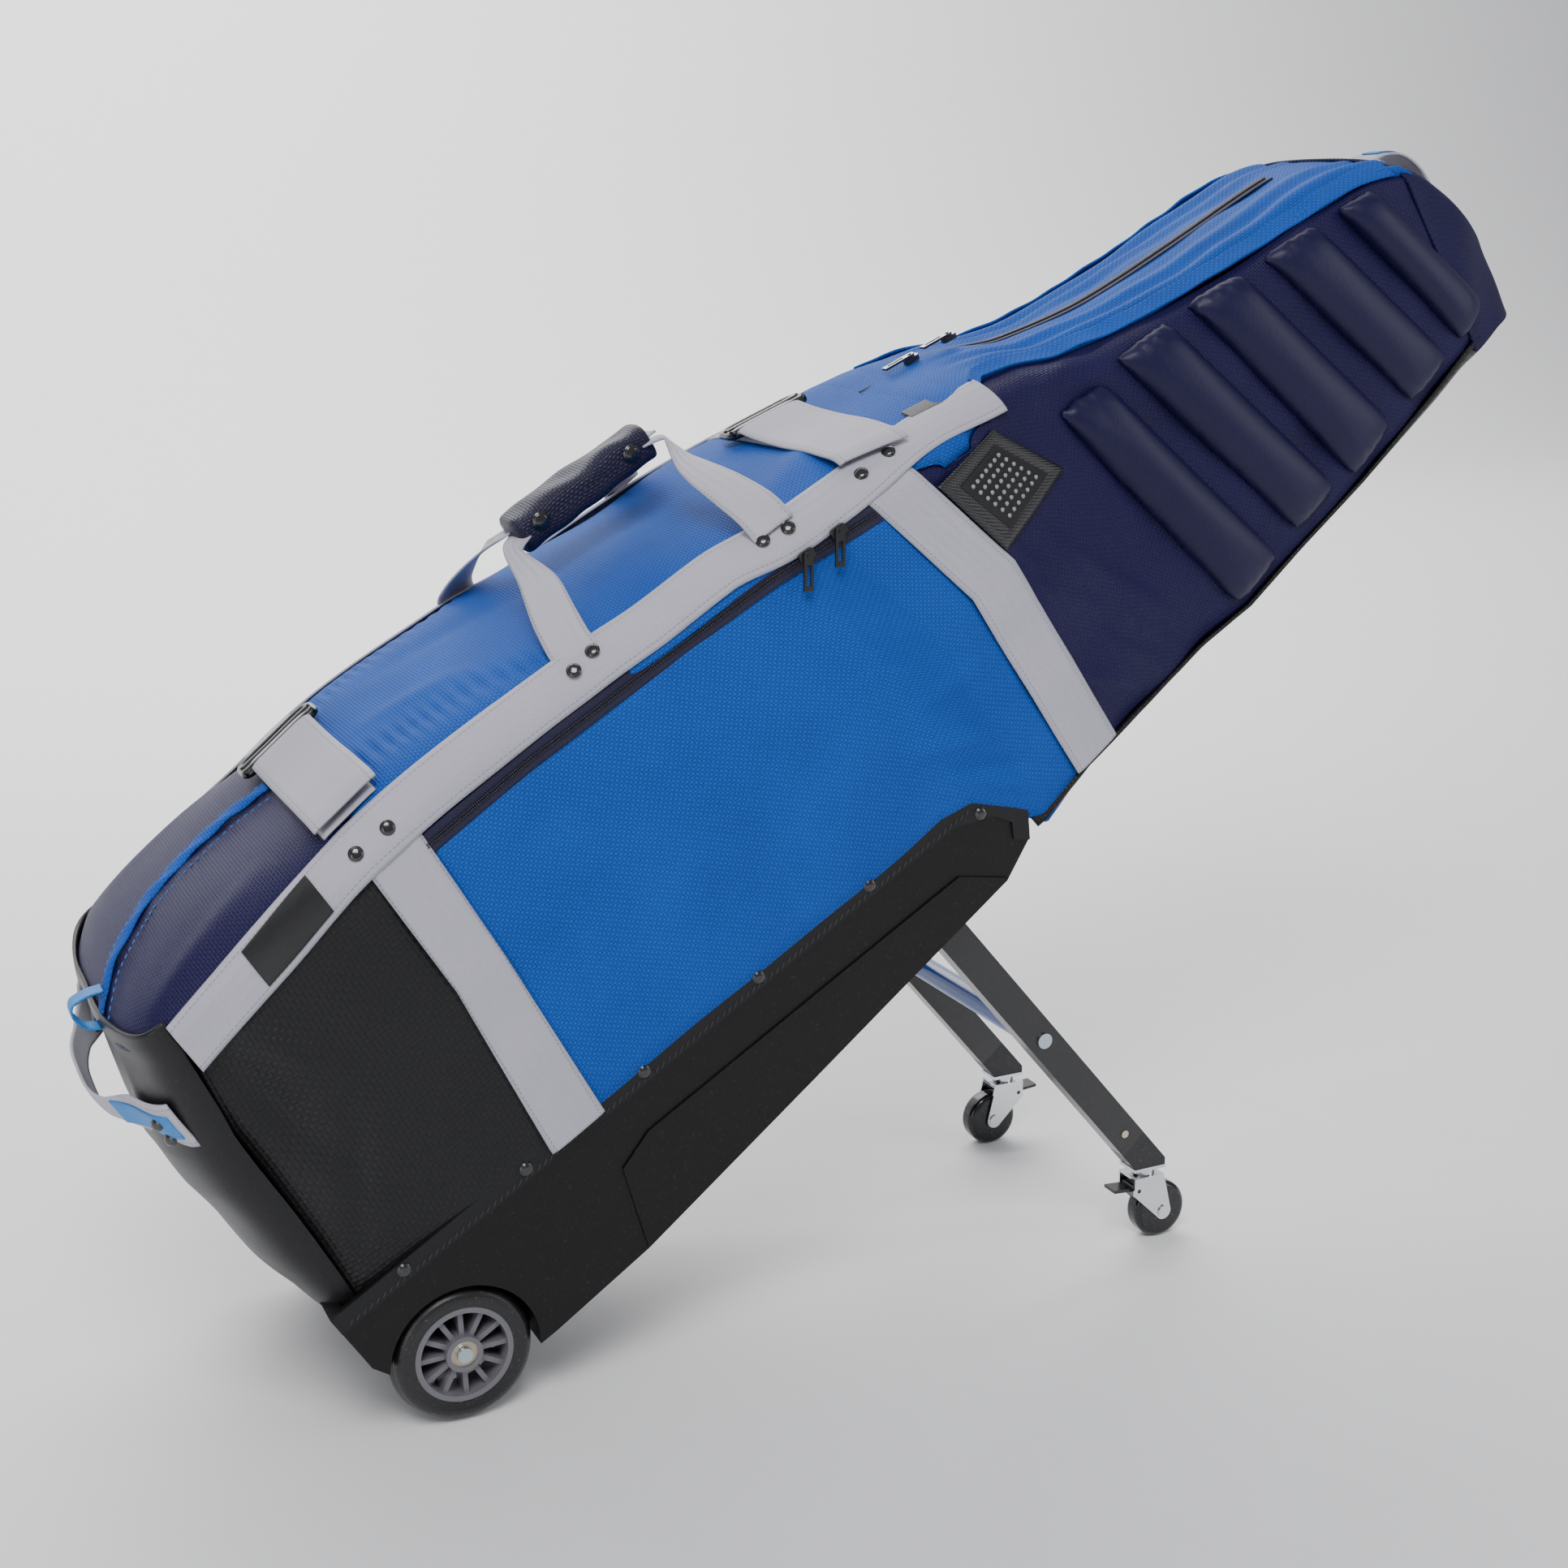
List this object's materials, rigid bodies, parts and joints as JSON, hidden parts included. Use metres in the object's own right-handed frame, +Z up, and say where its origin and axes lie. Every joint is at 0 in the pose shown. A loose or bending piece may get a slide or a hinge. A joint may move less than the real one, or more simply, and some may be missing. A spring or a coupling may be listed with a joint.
{
  "type": "wheeled golf travel cover",
  "caption": "Soft golf travel cover on a moulded wheeled base, standing tilted on a fold-out pair of legs with swivel casters.",
  "frame": {"origin": "on the floor, at the middle of the object's bounding box seen from above", "axes": "+X level along the bag from the foot and main wheels towards the head and casters, +Y across to the left side, +Z up"},
  "size_m": [1.339, 0.3442, 0.9887],
  "materials": {
    "tyre_rubber": "satin",
    "hub_plastic": "satin",
    "bearing_steel": "satin",
    "zinc_steel": "bright",
    "base_plastic": "satin",
    "black_binding": "woven",
    "black_rivet": "gloss",
    "black_leg": "satin",
    "blue_tube": "satin",
    "brass_rivet": "bright",
    "chrome": "polished",
    "caster_black": "gloss",
    "black_vinyl": "coated",
    "blue_fabric": "woven",
    "navy_fabric": "woven",
    "grey_webbing": "woven",
    "buckle_plastic": "satin",
    "zip_tape": "woven",
    "label_cloth": "woven",
    "zip_black": "satin"
  },
  "bodies": {
    "cover": {"axle_screws": "zinc_steel", "base_moulding": "base_plastic", "body_straps": "grey_webbing", "carry_webbing": "grey_webbing", "compression_buckles": "buckle_plastic", "compression_straps": "grey_webbing", "cover_rivets": "black_rivet", "end_handles": "grey_webbing", "flange_strips": "black_binding", "foot_panels": "black_vinyl", "front_panel": "blue_fabric", "handle_grip": "navy_fabric", "head_cap": "navy_fabric", "labels": "label_cloth", "leg_pivot_brackets": "zinc_steel", "leg_pivot_rod": "bearing_steel", "leg_stops": "base_plastic", "main_axle": "bearing_steel", "neck_back_panel": "black_vinyl", "neck_opening_panel": "blue_fabric", "neck_rolls": "navy_fabric", "neck_side_panels": "navy_fabric", "shoe_pocket": "navy_fabric", "side_panel_left": "blue_fabric", "side_panel_right": "blue_fabric", "zip_tapes": "zip_tape"},
    "main_wheel_left": {"main_tyre_left": "tyre_rubber", "main_hub_left": "hub_plastic", "main_bearings_left": "bearing_steel"},
    "main_wheel_right": {"main_tyre_right": "tyre_rubber", "main_hub_right": "hub_plastic", "main_bearings_right": "bearing_steel"},
    "leg_frame": {"leg_left": "black_leg", "leg_right": "black_leg", "leg_end_plugs": "base_plastic", "leg_cross_tube": "blue_tube", "leg_cross_screws": "zinc_steel", "leg_rivets": "brass_rivet", "leg_pivot_sleeve": "zinc_steel", "caster_plates": "chrome"},
    "caster_left": {"caster_fork_left": "chrome", "caster_axle_left": "chrome"},
    "caster_roller_left": {"caster_wheel_left": "caster_black"},
    "brake_left": {"brake_lever_left": "caster_black"},
    "caster_right": {"caster_fork_right": "chrome", "caster_axle_right": "chrome"},
    "caster_roller_right": {"caster_wheel_right": "caster_black"},
    "brake_right": {"brake_lever_right": "caster_black"},
    "side_zip_left_low": {"side_slider_left_low": "zip_black"},
    "side_tab_left_low": {"side_pull_left_low": "zip_black"},
    "side_zip_left_high": {"side_slider_left_high": "zip_black"},
    "side_tab_left_high": {"side_pull_left_high": "zip_black"},
    "side_zip_right_low": {"side_slider_right_low": "zip_black"},
    "side_tab_right_low": {"side_pull_right_low": "zip_black"},
    "side_zip_right_high": {"side_slider_right_high": "zip_black"},
    "side_tab_right_high": {"side_pull_right_high": "zip_black"},
    "top_zip_low": {"top_slider_low": "zip_black"},
    "top_tab_low": {"top_pull_low": "zip_black"},
    "top_zip_high": {"top_slider_high": "zip_black"},
    "top_tab_high": {"top_pull_high": "zip_black"}
  },
  "joints": [
    {"name": "main_wheel_left_spin", "type": "hinge", "parent": "cover", "child": "main_wheel_left", "pos_m": [-0.40963, 0.139, 0.0584], "axis": [0, 1, 0], "continuous": true},
    {"name": "main_wheel_right_spin", "type": "hinge", "parent": "cover", "child": "main_wheel_right", "pos_m": [-0.40963, -0.139, 0.0584], "axis": [0, 1, 0], "continuous": true},
    {"name": "leg_fold", "type": "hinge", "parent": "cover", "child": "leg_frame", "pos_m": [0.00846, 0, 0.36682], "axis": [0, 1, 0], "range_deg": [0, 91]},
    {"name": "caster_left_swivel", "type": "hinge", "parent": "leg_frame", "child": "caster_left", "pos_m": [0.25117, 0.124, 0.06], "axis": [0, 0, 1], "continuous": true},
    {"name": "caster_left_roll", "type": "hinge", "parent": "caster_left", "child": "caster_roller_left", "pos_m": [0.23517, 0.124, 0.027], "axis": [0, 1, 0], "continuous": true},
    {"name": "brake_left_press", "type": "hinge", "parent": "caster_left", "child": "brake_left", "pos_m": [0.26317, 0.124, 0.0525], "axis": [0, 1, 0], "range_deg": [0, 20]},
    {"name": "caster_right_swivel", "type": "hinge", "parent": "leg_frame", "child": "caster_right", "pos_m": [0.25117, -0.124, 0.06], "axis": [0, 0, 1], "continuous": true},
    {"name": "caster_right_roll", "type": "hinge", "parent": "caster_right", "child": "caster_roller_right", "pos_m": [0.26717, -0.124, 0.027], "axis": [0, 1, 0], "continuous": true},
    {"name": "brake_right_press", "type": "hinge", "parent": "caster_right", "child": "brake_right", "pos_m": [0.23917, -0.124, 0.0525], "axis": [0, -1, 0], "range_deg": [0, 20]},
    {"name": "side_zip_left_low_slide", "type": "slide", "parent": "cover", "child": "side_zip_left_low", "axis": [0.848, 0, 0.5299], "range_m": [-0.35, 0]},
    {"name": "side_tab_left_low_swing", "type": "hinge", "parent": "side_zip_left_low", "child": "side_tab_left_low", "pos_m": [-0.11468, 0.1646, 0.66957], "axis": [0, 1, 0], "range_deg": [-25, 25]},
    {"name": "side_zip_left_high_slide", "type": "slide", "parent": "cover", "child": "side_zip_left_high", "axis": [0.848, 0, 0.5299], "range_m": [0, 0.005]},
    {"name": "side_tab_left_high_swing", "type": "hinge", "parent": "side_zip_left_high", "child": "side_tab_left_high", "pos_m": [-0.08754, 0.1646, 0.68652], "axis": [0, 1, 0], "range_deg": [-25, 25]},
    {"name": "side_zip_right_low_slide", "type": "slide", "parent": "cover", "child": "side_zip_right_low", "axis": [0.848, 0, 0.5299], "range_m": [-0.35, 0]},
    {"name": "side_tab_right_low_swing", "type": "hinge", "parent": "side_zip_right_low", "child": "side_tab_right_low", "pos_m": [-0.11468, -0.1646, 0.66957], "axis": [0, 1, 0], "range_deg": [-25, 25]},
    {"name": "side_zip_right_high_slide", "type": "slide", "parent": "cover", "child": "side_zip_right_high", "axis": [0.848, 0, 0.5299], "range_m": [0, 0.005]},
    {"name": "side_tab_right_high_swing", "type": "hinge", "parent": "side_zip_right_high", "child": "side_tab_right_high", "pos_m": [-0.08754, -0.1646, 0.68652], "axis": [0, 1, 0], "range_deg": [-25, 25]},
    {"name": "top_zip_low_slide", "type": "slide", "parent": "cover", "child": "top_zip_low", "axis": [0.9072, 0, 0.4206], "range_m": [0, 0.006]},
    {"name": "top_tab_low_swing", "type": "hinge", "parent": "top_zip_low", "child": "top_tab_low", "pos_m": [0.06897, 0, 0.80213], "axis": [-0.4206, 0, 0.9072], "range_deg": [-60, 60]},
    {"name": "top_zip_high_slide", "type": "slide", "parent": "cover", "child": "top_zip_high", "axis": [0.9072, 0, 0.4206], "range_m": [0, 0.34]},
    {"name": "top_tab_high_swing", "type": "hinge", "parent": "top_zip_high", "child": "top_tab_high", "pos_m": [0.10555, 0, 0.81909], "axis": [-0.4206, 0, 0.9072], "range_deg": [-60, 60]}
  ]
}
